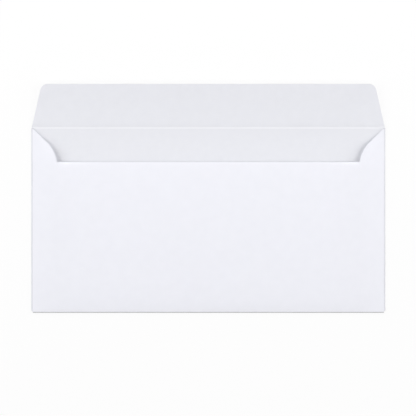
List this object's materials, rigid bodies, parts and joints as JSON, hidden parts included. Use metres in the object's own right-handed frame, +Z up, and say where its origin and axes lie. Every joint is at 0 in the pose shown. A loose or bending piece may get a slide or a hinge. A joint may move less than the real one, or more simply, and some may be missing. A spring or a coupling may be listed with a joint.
{
  "type": "paper envelope",
  "caption": "Plain white paper envelope, open and lying on its front: wide pocket with cut shoulders and a shallow seal flap with rounded corners.",
  "frame": {"origin": "middle of the address panel's outer face, on the surface that the envelope lies on", "axes": "+X along the width, +Y from the bottom fold towards the seal flap, +Z up through the panels"},
  "size_m": [0.23, 0.1482, 0.0039],
  "materials": {
    "paper": "smooth matt white wove paper, slightly greyer on the inside"
  },
  "bodies": {
    "root": {"envelope": "paper"}
  },
  "joints": []
}
